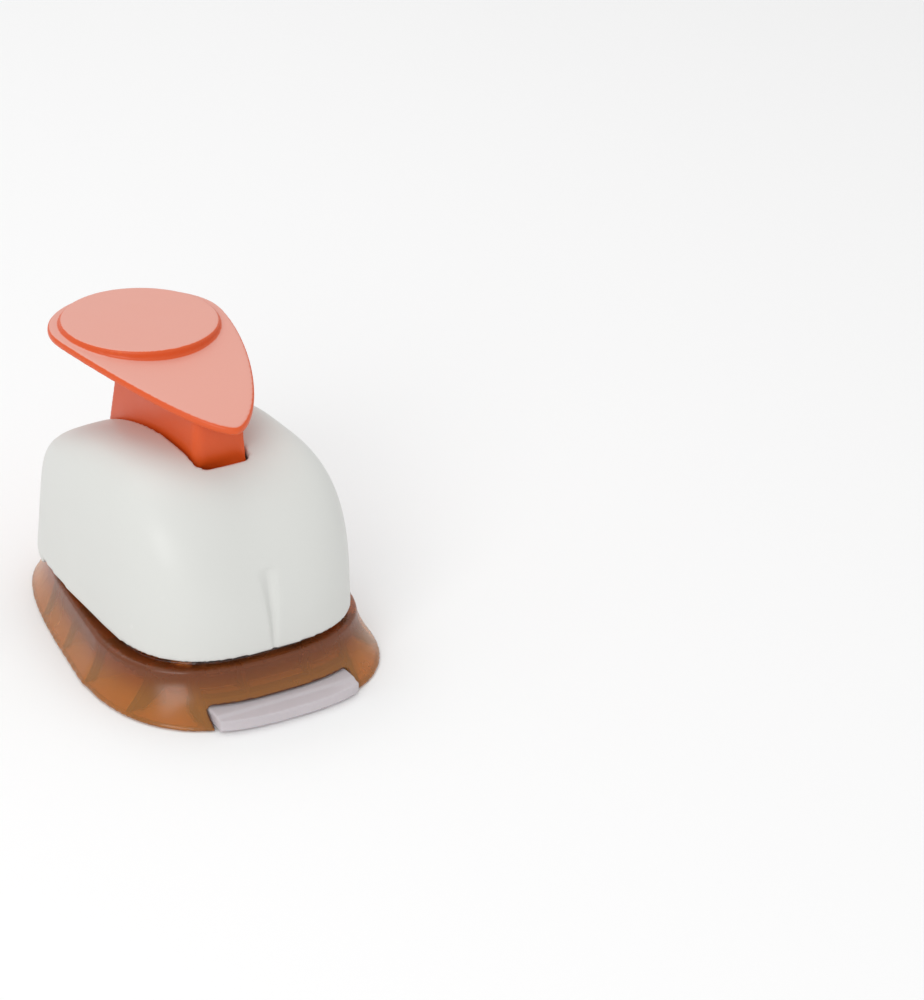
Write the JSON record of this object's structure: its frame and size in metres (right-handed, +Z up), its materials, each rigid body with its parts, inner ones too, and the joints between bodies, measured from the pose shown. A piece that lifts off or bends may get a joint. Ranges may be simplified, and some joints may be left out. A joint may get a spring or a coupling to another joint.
{
  "type": "lever craft punch",
  "caption": "Lever paper punch with a teardrop thumb lever, light grey dome housing, amber base and a clear slide lock, cutting a star.",
  "frame": {"origin": "on the table under the middle of the punch's box", "axes": "+Z up, -Y to the front where the paper goes in, +X to the user's right when the punch faces them"},
  "size_m": [0.062, 0.0846, 0.0597],
  "materials": {
    "grey_plastic": "satin, finely textured",
    "orange_plastic": "satin",
    "amber_plastic": "translucent",
    "clear_plastic": "clear",
    "black_plastic": "matte",
    "steel": "brushed",
    "dark_steel": "blackened",
    "brass": "turned"
  },
  "bodies": {
    "root": {"base": "amber_plastic", "housing": "grey_plastic", "die_plate": "steel", "guide_plate": "steel", "gap_spacer": "dark_steel", "pivot_frame": "steel", "lever_pin": "steel", "pin_clips": "dark_steel", "guide_post_left": "steel", "guide_post_right": "steel", "post_clips": "dark_steel", "die_screws": "dark_steel", "frame_screws": "dark_steel", "base_screws": "dark_steel", "housing_screws": "dark_steel", "return_spring_left": "steel", "return_spring_right": "steel"},
    "lever": {"press_lever": "orange_plastic", "catch_pin": "steel"},
    "punch": {"punch_carrier": "black_plastic", "star_cutter": "steel", "cutter_screws": "dark_steel", "carrier_bush_left": "brass", "carrier_bush_right": "brass"},
    "lock": {"lock_slide": "clear_plastic"}
  },
  "joints": [
    {"name": "lever_press", "type": "hinge", "parent": "root", "child": "lever", "pos_m": [0, -0.022, 0.029], "axis": [-1, 0, 0], "range_deg": [0, 22], "stiffness_Nm_per_rad": 0.45, "springref_deg": -14.32},
    {"name": "punch_slide", "type": "slide", "parent": "root", "child": "punch", "axis": [0, 0, -1], "range_m": [0, 0.00578], "deforming": ["return_spring_left", "return_spring_right"]},
    {"name": "lock_pull", "type": "slide", "parent": "root", "child": "lock", "axis": [0, -1, 0], "range_m": [0, 0.0042]}
  ],
  "couplings": [
    {"joint": "punch_slide", "follows": "lever_press", "m_per_rad": 0.015}
  ]
}
